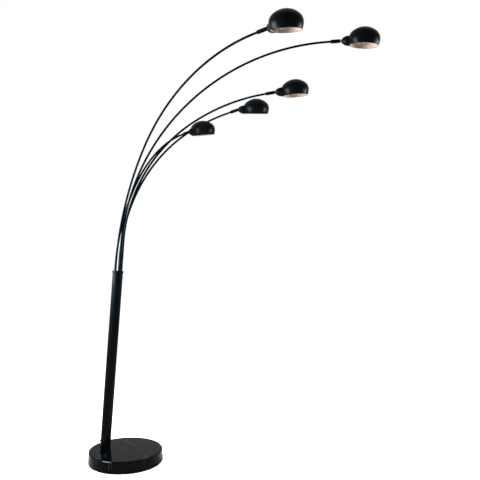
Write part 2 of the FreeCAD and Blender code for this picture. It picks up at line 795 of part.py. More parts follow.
def shade_place(number):
    return head_place(number) * Placement(Vector(at.dome_reach.value, 0, 0), Rotation())


def make_shade(number):
    """Spun dome, open below, with a round hole for the lampholder."""
    crown, meet, widest, rim = dome_points(as_size(0))
    in_crown, in_meet, in_widest, in_rim = dome_points(-at.dome_wall)
    crown_in = crown_radius - at.dome_wall
    shoulder_in = at.dome_shoulder_radius - at.dome_wall
    skirt_in = skirt_radius - at.dome_wall
    body = turned_body(f"shade_{number}", shade_place(number), [
        crown, meet, widest, rim, in_rim, in_widest, in_meet, in_crown,
    ], {
        0: (crown_radius, -1), 1: (at.dome_shoulder_radius, -1), 2: (skirt_radius, -1),
        4: (skirt_in, 1), 5: (shoulder_in, 1), 6: (crown_in, 1),
    })
    hole = new_sketch(body, "HolderHole", "XZ_Plane")
    radius = at.holder_radius + at.holder_hole_gap
    outside = -at.dome_radius - at.overrun
    draw(hole, [(outside, 0), (-shoulder_x, 0), (-shoulder_x, radius), (outside, radius)])
    turned(body, hole, "H_Axis", "PartDesign::Groove")
    return body


def make_lampholder(number):
    """Nipple screwed into the cup, barrel through the shade, and the bulb's socket."""
    start = at.nipple_start + at.seat_gap
    back = at.cup_block_end + at.seat_gap
    bottom = at.holder_end - at.holder_bore_depth
    return turned_body(f"lampholder_{number}", head_place(number), [
        (start, at.lead_bore_radius), (start, at.nipple_radius), (back, at.nipple_radius),
        (back, at.holder_radius - at.holder_shoulder),
        (back + at.holder_shoulder, at.holder_radius), (at.holder_end, at.holder_radius),
        (at.holder_end, at.holder_bore_radius), (bottom, at.holder_bore_radius),
        (bottom, at.lead_bore_radius),
    ], axis="H_Axis")


def make_shade_ring(number):
    """Ring on the lampholder's barrel, its back shaped to the inside of the dome."""
    inner = at.holder_radius + at.ring_gap
    outer = inner + at.ring_width
    back = at.dome_reach - at.dome_radius
    front = back + at.ring_depth
    body = turned_body(f"shade_ring_{number}", head_place(number), [
        (back, inner), (back, outer), (front, outer), (front, inner),
    ], axis="H_Axis")
    inside = -at.dome_wall - at.cope_gap
    cope = new_sketch(body, "Cope", "XZ_Plane", {"x": at.dome_reach})
    crown, meet, widest, rim = dome_points(inside)
    far = at.dome_radius + at.overrun
    draw(cope, [rim, widest, meet, (far, meet[1]), (far, rim[1])], {
        0: (skirt_radius + inside, 1), 1: (at.dome_shoulder_radius + inside, 1),
    })
    turned(body, cope, "V_Axis", "PartDesign::Groove")
    return body


def make_bulb(number):
    """Screw base in the holder, a neck and a round globe that it meets tangent."""
    neck_x = at.bulb_base_end + at.bulb_neck_taper
    across = neck_x - at.globe_centre
    reach_sq = across * across + at.bulb_neck_radius * at.bulb_neck_radius
    globe_sq = at.globe_radius * at.globe_radius
    along_share = globe_sq / reach_sq
    side_share = at.globe_radius * root(reach_sq - globe_sq) / reach_sq
    touch = (at.globe_centre + along_share * across + side_share * at.bulb_neck_radius,
             along_share * at.bulb_neck_radius - side_share * across)
    shoulder = at.bulb_tip + at.bulb_contact_taper
    return turned_body(f"bulb_{number}", head_place(number), [
        (at.bulb_tip, 0), (at.bulb_tip, at.bulb_contact_radius), (shoulder, at.bulb_base_radius),
        (at.bulb_base_end, at.bulb_base_radius), (neck_x, at.bulb_neck_radius), touch,
        (at.globe_centre + at.globe_radius, 0),
    ], {5: (at.globe_radius, -1)}, axis="H_Axis")


nodes = make_base() + make_base_fixings() + make_pole() + make_cap() + make_guide()
nodes += make_cap_screws() + make_wiring()
for number in range(1, len(arms) + 1):
    nodes += make_arm(number) + make_stud(number)
    nodes += [make_cup(number), make_shade(number), make_lampholder(number)]
    nodes += [make_shade_ring(number), make_bulb(number)]
doc.recompute()

for item in doc.Objects:
    if any(word in item.State for word in ("Invalid", "Error")):
        raise RuntimeError(f"{item.Label} failed: {item.State}")
for node in nodes:
    if node.Shape.isNull() or not node.Shape.isValid():
        raise RuntimeError(f"{node.Label} has no valid shape")
    print(node.Label, "solids", len(node.Shape.Solids), "volume", round(node.Shape.Volume, 1))

os.makedirs("parts", exist_ok=True)
for node in nodes:
    node.Shape.exportStep(f"parts/{node.Label}.step")
print(len(nodes), "nodes written")
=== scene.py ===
import json
import math

import bmesh
import bpy
from mathutils import Matrix, Vector


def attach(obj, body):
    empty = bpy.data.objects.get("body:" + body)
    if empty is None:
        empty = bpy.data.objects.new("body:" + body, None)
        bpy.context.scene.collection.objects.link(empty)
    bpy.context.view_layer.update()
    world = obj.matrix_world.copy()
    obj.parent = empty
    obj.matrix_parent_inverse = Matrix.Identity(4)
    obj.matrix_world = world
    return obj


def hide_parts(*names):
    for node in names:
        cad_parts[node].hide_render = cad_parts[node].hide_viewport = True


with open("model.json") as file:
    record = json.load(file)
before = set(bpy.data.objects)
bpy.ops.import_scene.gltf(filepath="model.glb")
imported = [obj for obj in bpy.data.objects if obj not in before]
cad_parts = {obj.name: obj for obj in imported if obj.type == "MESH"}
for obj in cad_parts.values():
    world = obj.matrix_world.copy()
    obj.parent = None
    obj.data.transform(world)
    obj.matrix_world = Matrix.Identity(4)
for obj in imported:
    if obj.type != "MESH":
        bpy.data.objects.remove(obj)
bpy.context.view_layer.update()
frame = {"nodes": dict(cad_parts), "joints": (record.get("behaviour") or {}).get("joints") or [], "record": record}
print("frame loaded:", len(frame["nodes"]), "nodes")

mm = 0.001
past = 5.0  # how far, in mm, a blank or a cutter runs past the face that ends it

# The camera stands level in front of the lamp, a little right of its middle.
view = {
    "place": (0.569, -2.943, 1.074),
    "focalPixels": 591.0,  # focal length in pixels of the photograph's frame
    "framePixels": 480.0,
    "sensor": 36.0,
    "horizonRow": 245.0,
    "middleRow": 240.0,
}


def makeCamera():
    lens = bpy.data.cameras.new("viewCamera")
    lens.sensor_width = view["sensor"]
    lens.lens = view["focalPixels"] / view["framePixels"] * view["sensor"]
    lens.shift_y = (view["horizonRow"] - view["middleRow"]) / view["framePixels"]
    camera = bpy.data.objects.new("viewCamera", lens)
    camera.location = view["place"]
    camera.rotation_euler = (math.radians(90), 0, 0)
    bpy.context.scene.collection.objects.link(camera)
    bpy.context.scene.camera = camera


makeCamera()


class Wire:  # one value in a material's nodes, so that shader maths reads as Python
    def __init__(self, paint, socket):
        self.paint = paint
        self.socket = socket

    def maths(self, operation, first, second):
        return self.paint.node("ShaderNodeMath", {"operation": operation}, {0: first, 1: second})

    def __add__(self, other):
        return self.maths("ADD", self, other)

    def __sub__(self, other):
        return self.maths("SUBTRACT", self, other)

    def __rsub__(self, other):
        return self.maths("SUBTRACT", other, self)

    def __mul__(self, other):
        return self.maths("MULTIPLY", self, other)

    def __truediv__(self, other):
        return self.maths("DIVIDE", self, other)

    def __rtruediv__(self, other):
        return self.maths("DIVIDE", other, self)

    __radd__ = __add__
    __rmul__ = __mul__

    def atLeast(self, other):
        return self.maths("MAXIMUM", self, other)


class Paint:  # a material with one method that adds any node
    def __init__(self, name):
        self.material = bpy.data.materials.new(name)
        self.material.use_nodes = True
        self.tree = self.material.node_tree
        self.surface = self.tree.nodes["Principled BSDF"]

    def node(self, kind, settings=None, inputs=None, output=0):
        node = self.tree.nodes.new(kind)
        for key, value in (settings or {}).items():
            if key == "stops":
                self.setStops(node.color_ramp, value)
            else:
                setattr(node, key, value)
        for key, value in (inputs or {}).items():
            self.feed(node.inputs[key], value)
        return Wire(self, node.outputs[output])

    def setStops(self, ramp, stops):
        while len(ramp.elements) > 1:
            ramp.elements.remove(ramp.elements[-1])
        ramp.elements[0].position, ramp.elements[0].color = stops[0]
        for position, colour in stops[1:]:
            ramp.elements.new(position).color = colour

    def feed(self, socket, value):
        if isinstance(value, Wire):
            self.tree.links.new(value.socket, socket)
        else:
            socket.default_value = value

    def set(self, **values):  # BaseColor=... sets or links the Base Color socket
        for key, value in values.items():
            spaced = "".join(" " + letter if letter.isupper() else letter for letter in key).strip()
            self.feed(self.surface.inputs[spaced], value)

    def coordinates(self):
        return self.node("ShaderNodeTexCoord", output="Object")

    def noise(self, at, scale, detail, roughness=0.5, output=0):
        return self.node("ShaderNodeTexNoise", None,
                         {"Vector": at, "Scale": scale, "Detail": detail, "Roughness": roughness},
                         output)

    def ramp(self, value, stops):
        return self.node("ShaderNodeValToRGB", {"stops": stops}, {0: value})

    def fade(self, value, low, high, start=0.0, end=1.0):  # smooth step from start to end
        return self.node("ShaderNodeMapRange", {"interpolation_type": "SMOOTHSTEP"},
                         {0: value, 1: low, 2: high, 3: start, 4: end})

    def mix(self, amount, first, second):
        return self.node("ShaderNodeMix", {"data_type": "RGBA"}, {0: amount, 6: first, 7: second}, 2)

    def bump(self, height, distance, strength):
        return self.node("ShaderNodeBump", None,
                         {"Height": height, "Distance": distance, "Strength": strength})


def grey(level, warm=0.0):
    return (level * (1 + warm), level, level * (1 - warm), 1.0)


def cool(level):  # the photograph's blacks lean to blue-green
    return (level * 0.5, level, level * 1.4, 1.0)


# Shapes. Most are turned or swept about their own axis at the origin, then placed once in the mesh.

def arc(centre, radius, start, end, steps):  # points of an arc, angles in degrees
    points = []
    for step in range(steps + 1):
        angle = math.radians(start + (end - start) * step / steps)
        points.append((centre[0] + radius * math.cos(angle), centre[1] + radius * math.sin(angle)))
    return points


def finishMesh(name, shape, placing, body, materials, replaced=(), sharpDegrees=35.0):
    bmesh.ops.remove_doubles(shape, verts=shape.verts, dist=1e-6)
    bmesh.ops.recalc_face_normals(shape, faces=shape.faces)
    if placing is not None:
        bmesh.ops.transform(shape, matrix=placing, verts=shape.verts)
    mesh = bpy.data.meshes.new(name)
    shape.to_mesh(mesh)
    shape.free()
    mesh.shade_smooth()
    mesh.set_sharp_from_angle(angle=math.radians(sharpDegrees))
    for material in materials:
        mesh.materials.append(material)
    piece = bpy.data.objects.new(name, mesh)
    bpy.context.scene.collection.objects.link(piece)
    if body == "stage":
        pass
    else:
        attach(piece, body)
        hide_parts(*replaced)
    return piece


def latheShape(outline, axis, steps):
    # outline is closed, of (along the axis, radius) in millimetres; axis is "X" or "Z"
    shape = bmesh.new()
    turned = Vector((1, 0, 0)) if axis == "X" else Vector((0, 0, 1))
    side = Vector((0, 0, 1)) if axis == "X" else Vector((1, 0, 0))
    points = [shape.verts.new((turned * along + side * radius) * mm) for along, radius in outline]
    edges = [shape.edges.new(pair) for pair in zip(points, points[1:] + points[:1])]
    bmesh.ops.spin(shape, geom=points + edges, cent=(0, 0, 0), axis=turned, dvec=(0, 0, 0),
                   angle=math.tau, steps=steps, use_merge=True, use_duplicate=False)
    bmesh.ops.remove_doubles(shape, verts=shape.verts, dist=1e-7)
    return shape


def roundEdges(shape, width, steps=2, degrees=30.0):
    bmesh.ops.recalc_face_normals(shape, faces=shape.faces)
    sharp = [edge for edge in shape.edges
             if len(edge.link_faces) == 2 and edge.calc_face_angle() > math.radians(degrees)]
    bmesh.ops.bevel(shape, geom=sharp, offset=width * mm, offset_type="OFFSET", affect="EDGES",
                    segments=steps, profile=0.5, material=-1, clamp_overlap=True)


def placeAt(origin, along, up=None, main="X"):
    # a matrix whose X (or Z) lies exactly along, with the other of the two near up
    along = Vector(along).normalized()
    up = Vector(up or (0, 0, 1))
    other = (up - along * up.dot(along)).normalized()
    if main == "X":
        columns = (along, other.cross(along), other)
    else:
        columns = (other, along.cross(other), along)
    return Matrix.Translation(Vector(origin)) @ Matrix(columns).transposed().to_4x4()


def applyModifier(piece, kind, **settings):
    modifier = piece.modifiers.new("change", kind)
    for key, value in settings.items():
        setattr(modifier, key, value)
    graph = bpy.context.evaluated_depsgraph_get()
    done = bpy.data.meshes.new_from_object(piece.evaluated_get(graph))
    piece.modifiers.remove(modifier)
    old = piece.data
    piece.data = done
    bpy.data.meshes.remove(old)
    done.name = piece.name


def addPiece(shape, name, placing, body, materials, replaced=(), sharpDegrees=35.0, cutters=(),
             evenShading=True):
    # cutters are (shape, placing, operation) and are used up by the piece
    piece = finishMesh(name, shape, placing, body, materials, replaced, sharpDegrees)
    for cutter, cutterPlacing, operation in cutters:
        bmesh.ops.recalc_face_normals(cutter, faces=cutter.faces)
        bmesh.ops.transform(cutter, matrix=cutterPlacing, verts=cutter.verts)
        tool = bpy.data.objects.new("cutter", bpy.data.meshes.new("cutter"))
        cutter.to_mesh(tool.data)
        cutter.free()
        bpy.context.scene.collection.objects.link(tool)
        applyModifier(piece, "BOOLEAN", operation=operation, solver="EXACT", object=tool)
        piece.data.set_sharp_from_angle(angle=math.radians(sharpDegrees))
        bpy.data.objects.remove(tool)
    if evenShading:  # flat faces shade flat beside their rounded edges
        applyModifier(piece, "WEIGHTED_NORMAL", mode="FACE_AREA", weight=100, keep_sharp=True)


def joinShapes(shapes):  # shapes are (bmesh, material number); gives one bmesh
    whole = bmesh.new()
    for shape, number in shapes:
        bmesh.ops.remove_doubles(shape, verts=shape.verts, dist=1e-7)
        for face in shape.faces:
            face.material_index = number
        part = bpy.data.meshes.new("part")
        shape.to_mesh(part)
        shape.free()
        whole.from_mesh(part)
        bpy.data.meshes.remove(part)
    return whole


def heading(azimuth, elevation):
    flat = math.cos(math.radians(elevation))
    return Vector((flat * math.cos(math.radians(azimuth)), flat * math.sin(math.radians(azimuth)),
                   math.sin(math.radians(elevation))))


# Where things stand, from the frame's joints: the pole's axis, the sockets and the balls.
joints = {joint["name"]: joint for joint in frame["joints"]}
leanAxis = Vector(joints["arm_swivel_1"]["axis"])

pole = {
    "footX": -109.5, "footY": 34.0,
    "radius": 26.0, "bore": 24.5, "length": 872.5, "edge": 0.4, "sides": 96,
    "capRadius": 28.0, "capHeight": 14.0, "capBevel": 1.0, "capEdge": 0.35,
    "plugRadius": 24.3, "plugHeight": 18.0,
    "stemHole": 5.5, "stemHoleDepth": 40.0, "stemFlare": 1.8, "stemFlareDepth": 0.8,
}
base = {
    "radius": 184.0, "topRadius": 181.0, "height": 59.0, "felt": 3.0,
    "edgeBevel": 3.5, "footBevel": 1.5, "edge": 0.5, "sides": 192,
    "boreRadius": 5.5, "webHeight": 34.0, "recessRadius": 33.0, "reach": 64.0,
}
poleFoot = Vector((pole["footX"], pole["footY"], base["height"])) * mm


def levelSide(azimuth):  # across the pole, towards an azimuth
    side = heading(azimuth, 0)
    return (side - leanAxis * side.dot(leanAxis)).normalized()


capTop = poleFoot + leanAxis * (pole["length"] + pole["capHeight"]) * mm

# Each arm as in its body: straight out of the cap, then two arcs that meet tangent.
arms = [
    {"azimuth": -36.4, "straight": 20.0, "lowRadius": 1327.0, "lowTurn": 26.9,
     "highRadius": 850.0, "highTurn": 55.6,
     "headAzimuth": -46.0, "headElevation": -6.2, "headRoll": -8.4},
    {"azimuth": -11.3, "straight": 129.0, "lowRadius": 1045.0, "lowTurn": 43.2,
     "highRadius": 1051.0, "highTurn": 43.8,
     "headAzimuth": -17.8, "headElevation": -5.0, "headRoll": -5.0},
    {"azimuth": 9.4, "straight": 147.0, "lowRadius": 846.0, "lowTurn": 50.5,
     "highRadius": 1068.0, "highTurn": 23.2,
     "headAzimuth": 6.5, "headElevation": 4.2, "headRoll": -5.5},
    {"azimuth": 31.2, "straight": 67.0, "lowRadius": 924.0, "lowTurn": 51.5,
     "highRadius": 1454.0, "highTurn": 11.4,
     "headAzimuth": 14.4, "headElevation": 2.8, "headRoll": -12.1},
    {"azimuth": 57.0, "straight": 20.0, "lowRadius": 967.0, "lowTurn": 31.6,
     "highRadius": 795.0, "highTurn": 32.3,
     "headAzimuth": 44.9, "headElevation": 9.2, "headRoll": -3.3},
]


# Finishes.

marble = {  # places in metres, as the coordinates are
    "gloss": 1.077,
    "veinScale": 9.0, "veinBend": 0.09, "veinStrength": 0.1,
    "speckScale": 170.0, "speckStrength": 0.4,
    # the pale flake on the front edge: x, z, half length, half height
    "flake": (-0.058, 0.0555, 0.028, 0.001), "flakeSag": 0.0016, "flakeSlope": 0.0009,
    "flakeStrength": 0.7,
    # the veins under it: x, half width, strength
    "veins": ((-0.045, 0.0005, 0.28), (-0.031, 0.0004, 0.2)), "veinWander": 0.006,
}


def makeMarble():
    paint = Paint("blackMarble")
    at = paint.coordinates()
    x, y, z = [paint.node("ShaderNodeSeparateXYZ", None, {0: at}, axis) for axis in range(3)]
    cloud = paint.noise(at, 14.0, 6.0, 0.62)
    bend = paint.noise(at, 9.0, 4.0, 0.55, output="Color")
    bent = paint.node("ShaderNodeVectorMath", {"operation": "MULTIPLY_ADD"},
                      {0: bend, 1: (marble["veinBend"],) * 3, 2: at})
    cell = paint.node("ShaderNodeTexVoronoi", {"feature": "DISTANCE_TO_EDGE"},
                      {"Vector": bent, "Scale": marble["veinScale"]})
    veined = paint.noise(at, 11.0, 3.0)
    vein = paint.fade(cell, 0.0, 0.012, 1.0, 0.0) * paint.fade(veined, 0.54, 0.68)
    grain = paint.node("ShaderNodeTexVoronoi", {"feature": "F1"},
                       {"Vector": at, "Scale": marble["speckScale"]})
    grouped = paint.noise(at, 60.0, 2.0)
    speck = paint.fade(grain, 0.06, 0.16, 1.0, 0.0) * paint.fade(grouped, 0.54, 0.64)
    # the flake and two thin veins that run down the front from it
    middle, height, halfLength, halfHeight = marble["flake"]
    along = (x - middle) / halfLength
    sag = along * along * marble["flakeSag"]
    across = (z - height + sag + along * marble["flakeSlope"]) / halfHeight
    ragged = paint.noise(at, 300.0, 3.0)
    front = paint.fade(y, -0.12, -0.1, 1.0, 0.0)
    flake = paint.fade(along * along + across * across + ragged, 0.9, 1.6, 1.0, 0.0) * front
    wander = (paint.noise(at, 70.0, 3.0) - 0.5) * marble["veinWander"]
    for place, halfWidth, strength in marble["veins"]:
        side = (x - place + wander) / halfWidth
        drop = paint.fade(z, 0.014, 0.03) * paint.fade(z, 0.0574, 0.0588, strength, 0.0)
        flake = flake.atLeast(paint.fade(side * side, 0.3, 1.0, 1.0, 0.0) * drop * front)
    stone = paint.ramp(cloud, [(0.3, cool(0.0004)), (0.6, cool(0.0009)), (0.8, cool(0.002))])
    lined = paint.mix(vein * marble["veinStrength"], stone, grey(0.3, 0.03))
    speckled = paint.mix(speck * marble["speckStrength"], lined, grey(0.3, 0.02))
    flaked = paint.mix(flake * marble["flakeStrength"], speckled, grey(0.3, 0.02))
    haze = paint.noise(at, 40.0, 4.0, 0.6)
    paint.set(BaseColor=flaked, Roughness=paint.fade(haze, 0.3, 0.75, 0.03, 0.08))
    paint.feed(paint.surface.inputs["IOR"], marble["gloss"])
    paint.set(Normal=paint.bump(paint.noise(at, 90.0, 3.0), 0.00001, 0.2))
    return paint.material


def makeEnamel(name, level, gloss, roughness, edge=None):
    # satin black paint with fine orange peel and a slightly uneven sheen; an edge level keeps
    # thin tubes dark where they turn away
    paint = Paint(name)
    at = paint.coordinates()
    cloud = paint.noise(at, 22.0, 4.0, 0.55)
    dust = paint.noise(at, 420.0, 3.0, 0.6)
    paint.set(BaseColor=paint.ramp(cloud, [(0.3, cool(level * 0.8)), (0.7, cool(level * 1.25))]))
    paint.set(Roughness=paint.fade(cloud + dust * 0.25, 0.4, 0.8, roughness * 0.9, roughness * 1.12))
    paint.feed(paint.surface.inputs["IOR"], gloss)
    if edge is not None:
        paint.feed(paint.surface.inputs["Metallic"], 1.0)
        paint.feed(paint.surface.inputs["Specular Tint"], grey(edge))
    peel = paint.noise(at, 900.0, 2.0, 0.5)
    paint.set(Normal=paint.bump(peel, 0.00003, 0.35))
    return paint.material


def makeLining():
    # warm off-white paint inside the shades, drawn much darker than that paint as painted shade
    paint = Paint("shadeLining")
    at = paint.coordinates()
    cloud = paint.noise(at, 18.0, 4.0, 0.6)
    # painted shade: these colours sit well below off-white and stand in for the dim light inside the dome
    paint.set(BaseColor=paint.ramp(cloud, [(0.25, (0.33, 0.264, 0.222, 1)),
                                           (0.75, (0.365, 0.3, 0.254, 1))]))
    paint.set(Roughness=paint.fade(paint.noise(at, 60.0, 3.0), 0.3, 0.7, 0.35, 0.5))
    paint.set(Normal=paint.bump(paint.noise(at, 500.0, 2.0), 0.00002, 0.15))
    return paint.material


def makeGlass():
    # thin clear glass: see-through where it faces the eye, denser where it turns away
    paint = Paint("clearGlass")
    at = paint.coordinates()
    cloud = paint.noise(at, 30.0, 2.0)
    paint.set(BaseColor=paint.ramp(cloud, [(0.0, (0.24, 0.21, 0.185, 1)),
                                           (1.0, (0.28, 0.245, 0.215, 1))]))
    paint.set(Roughness=paint.fade(paint.noise(at, 50.0, 3.0), 0.3, 0.7, 0.04, 0.09))
    facing = paint.node("ShaderNodeLayerWeight", None, {"Blend": 0.5}, 1)
    paint.set(Alpha=paint.fade(facing, 0.35, 1.0, 0.05, 0.35))
    paint.set(Normal=paint.bump(paint.noise(at, 45.0, 2.0), 0.00002, 0.2))
    paint.feed(paint.surface.inputs["IOR"], 1.45)
    return paint.material


def makeSimple(name, colour, roughness, metallic=0.0, scale=40.0, grain=0.00003):
    # one colour with slight unevenness, for plastics, felt and steel
    paint = Paint(name)
    at = paint.coordinates()
    cloud = paint.noise(at, scale, 4.0, 0.6)
    dark = tuple(part * 0.82 for part in colour[:3]) + (1,)
    light = tuple(min(part * 1.15, 1.0) for part in colour[:3]) + (1,)
    paint.set(BaseColor=paint.ramp(cloud, [(0.3, dark), (0.7, light)]))
    paint.set(Roughness=paint.fade(cloud, 0.3, 0.7, roughness * 0.85, min(roughness * 1.15, 1.0)))
    paint.feed(paint.surface.inputs["Metallic"], metallic)
    paint.set(Normal=paint.bump(paint.noise(at, scale * 12, 2.0, 0.5), grain, 0.5))
    return paint.material


finish = {
    "marble": makeMarble(),
    "enamel": makeEnamel("blackEnamel", 0.0015, 1.088, 0.27),
    "shade": makeEnamel("shadeEnamel", 0.0015, 1.088, 0.27),
    "tube": makeEnamel("tubeEnamel", 0.0025, 1.5, 0.25, 0.45),
    "fitting": makeEnamel("fittingEnamel", 0.004, 1.5, 0.22, 0.45),
    "lining": makeLining(),
    "plastic": makeSimple("blackPlastic", (0.02, 0.02, 0.02, 1), 0.5),
    "white": makeSimple("whitePlastic", (0.75, 0.74, 0.7, 1), 0.5),
    "steel": makeSimple("zincSteel", (0.55, 0.55, 0.57, 1), 0.35, 1.0),
    "felt": makeSimple("blackFelt", (0.02, 0.02, 0.02, 1), 0.95, 0.0, 300.0, 0.0004),
    "rubber": makeSimple("blackRubber", (0.015, 0.015, 0.015, 1), 0.6),
    "glass": makeGlass(),
    "brass": makeSimple("brassCap", (0.62, 0.55, 0.38, 1), 0.3, 1.0),
    "wire": makeSimple("filamentWire", (0.35, 0.33, 0.32, 1), 0.4, 1.0, 400.0),
}
slotFinish = {
    "marble": "marble", "felt": "felt", "black_enamel": "enamel", "shade_enamel": "shade",
    "black_steel": "fitting", "steel": "steel", "black_plastic": "plastic", "white_plastic": "white",
    "cable": "rubber", "bulb_glass": "glass",
}
for entry in frame["record"]["subparts"]:
    cadMesh = frame["nodes"][entry["node"]].data
    cadMesh.materials.clear()
    cadMesh.materials.append(finish[slotFinish[entry["material_slot"]]])
print("finishes made")


# The stand.

def makeBase():
    side = base["height"] - base["edgeBevel"]
    shape = latheShape([
        (base["felt"], 0.0), (base["felt"], base["radius"] - base["footBevel"]),
        (base["felt"] + base["footBevel"], base["radius"]), (side, base["topRadius"]),
        (base["height"], base["topRadius"] - base["edgeBevel"]), (base["height"], 0.0),
    ], "Z", base["sides"])
    roundEdges(shape, base["edge"], degrees=15.0)
    way = latheShape([
        (past, 0.0), (past, base["boreRadius"]), (-base["webHeight"], base["boreRadius"]),
        (-base["webHeight"], base["recessRadius"]), (-base["reach"], base["recessRadius"]),
        (-base["reach"], 0.0),
    ], "Z", 64)
    addPiece(shape, "marbleBase", None, "stand", [finish["marble"]], ["marble_base"],
             cutters=[(way, placeAt(poleFoot, leanAxis, (1, 0, 0), "Z"), "DIFFERENCE")])


def makePole():
    shape = latheShape([(-past, pole["bore"]), (-past, pole["radius"]),
                        (pole["length"], pole["radius"]), (pole["length"], pole["bore"])],
                       "Z", pole["sides"])
    roundEdges(shape, pole["edge"])
    bmesh.ops.transform(shape, matrix=placeAt(poleFoot, leanAxis, (1, 0, 0), "Z"), verts=shape.verts)
    bmesh.ops.bisect_plane(shape, geom=shape.verts[:] + shape.edges[:] + shape.faces[:],
                           plane_co=(0, 0, base["height"] * mm), plane_no=(0, 0, 1), clear_inner=True)
    bmesh.ops.bridge_loops(shape, edges=[edge for edge in shape.edges if edge.is_boundary])
    addPiece(shape, "poleTube", None, "stand", [finish["enamel"]], ["pole_tube"])


def makeCap():
    foot = -pole["capHeight"]
    bevel = pole["capBevel"]
    shape = latheShape([
        (foot - pole["plugHeight"], 0.0), (foot - pole["plugHeight"], pole["plugRadius"]),
        (foot, pole["plugRadius"]), (foot, pole["capRadius"]), (-bevel, pole["capRadius"]),
        (0.0, pole["capRadius"] - bevel), (0.0, 0.0),
    ], "Z", pole["sides"])
    roundEdges(shape, pole["capEdge"])
    cutters = []
    depth, width = pole["stemHoleDepth"], pole["stemHole"]
    for number in range(1, len(arms) + 1):
        hole = latheShape([(-depth, 0.0), (-depth, width), (-pole["stemFlareDepth"], width),
                           (1.0, width + pole["stemFlare"]), (1.0, 0.0)], "Z", 40)
        socket = Vector(joints[f"arm_swivel_{number}"]["pos_m"])
        cutters.append((hole, placeAt(socket, leanAxis, (1, 0, 0), "Z"), "DIFFERENCE"))
    addPiece(shape, "armCap", placeAt(capTop, leanAxis, (1, 0, 0), "Z"), "stand",
             [finish["enamel"]], ["arm_cap"], cutters=cutters)


gland = {
    "rise": 28.5, "azimuth": 178.0, "radius": 5.5, "proud": 4.0, "gap": 0.15, "barrel": 4.2,
    "bore": 3.15, "nutBack": 19.2, "nutWidth": 12.0, "nutHeight": 4.0, "chamfer": (1.0, 1.2),
    "edge": 0.25,
}
capScrew = {
    "azimuths": (52.0, 124.0), "drop": 9.0, "radius": 2.0, "headRadius": 3.5, "head": 1.8,
    "tip": 17.5, "gap": 0.2, "rounding": ((0.45, 0.15), (0.85, 0.9)),  # share of the height, inset
    "socket": 2.5, "socketEdge": 0.6, "socketFloor": 0.35,
}


def makeGland():
    # a low collar round the lead, with its barrel and nut inside the pole
    back = gland["nutBack"]
    front = back + gland["nutHeight"]
    seat = pole["radius"] + gland["gap"]
    tip = pole["radius"] + gland["proud"]
    long, deep = gland["chamfer"]
    shape = latheShape([
        (back, gland["bore"]), (back, gland["nutWidth"] / 2), (front, gland["nutWidth"] / 2),
        (front, gland["barrel"]), (seat, gland["barrel"]), (seat, gland["radius"]),
        (tip - long, gland["radius"]), (tip, gland["radius"] - deep), (tip, gland["bore"]),
    ], "X", 56)
    roundEdges(shape, gland["edge"])
    place = poleFoot + leanAxis * gland["rise"] * mm
    addPiece(shape, "cableGland", placeAt(place, levelSide(gland["azimuth"]), leanAxis), "stand",
             [finish["plastic"]], ["cable_gland"])


def makeCapScrews():
    # button heads with a round socket
    shapes = []
    seat = pole["radius"] + capScrew["gap"]
    head = capScrew["head"]
    top = seat + head
    floor = seat + head * capScrew["socketFloor"]
    rounding = [(seat + head * share, capScrew["headRadius"] - inset)
                for share, inset in capScrew["rounding"]]
    for azimuth in capScrew["azimuths"]:
        shape = latheShape([
            (capScrew["tip"], 0.0), (capScrew["tip"], capScrew["radius"]), (seat, capScrew["radius"]),
            (seat, capScrew["headRadius"]),
        ] + rounding + [
            (top, capScrew["socket"] - capScrew["socketEdge"]), (top, capScrew["socket"] / 2),
            (floor, capScrew["socket"] / 2), (floor, 0.0),
        ], "X", 30)
        place = capTop - leanAxis * (pole["capHeight"] + capScrew["drop"]) * mm
        placing = placeAt(place, levelSide(azimuth), leanAxis)
        bmesh.ops.transform(shape, matrix=placing, verts=shape.verts)
        shapes.append((shape, 0))
    addPiece(joinShapes(shapes), "capScrews", None, "stand", [finish["fitting"]],
             ["cap_screws"], evenShading=False)


makeBase()
makePole()
makeCap()
makeGland()
makeCapScrews()
print("stand made")


# The arms: a tube swept from deep in the pole to its seat in the sleeve.

tube = {"radius": 5.4, "stem": 135.7, "endRun": 33.0, "sides": 32, "turnStep": 1.2}
sleeve = {  # lengths run back from the ball's centre
    "radius": 9.0, "length": 47.0, "edge": 0.8, "ballGap": 8.0, "seat": 5.45, "seatDepth": 18.0,
    "flangeRoom": 6.5, "flangeDepth": 4.0,
    "ringLength": 6.0, "ringFront": 7.3, "ringBore": 4.06, "ringEdge": 0.6, "split": 0.2,
    "screwBack": 9.0, "screwRadius": 1.55, "screwDepth": 4.0, "sides": 64,
}
stud = {"ball": 6.0, "neck": 2.5, "shank": 4.0, "flange": 6.2, "flangeBack": 17.5, "flangeFront": 14.1,
        "coneBack": 7.0, "coneFront": 6.1, "coneTip": 0.4}
leadBore = 1.4  # the way for the lamp's lead, through sleeve, ball, cup and holder


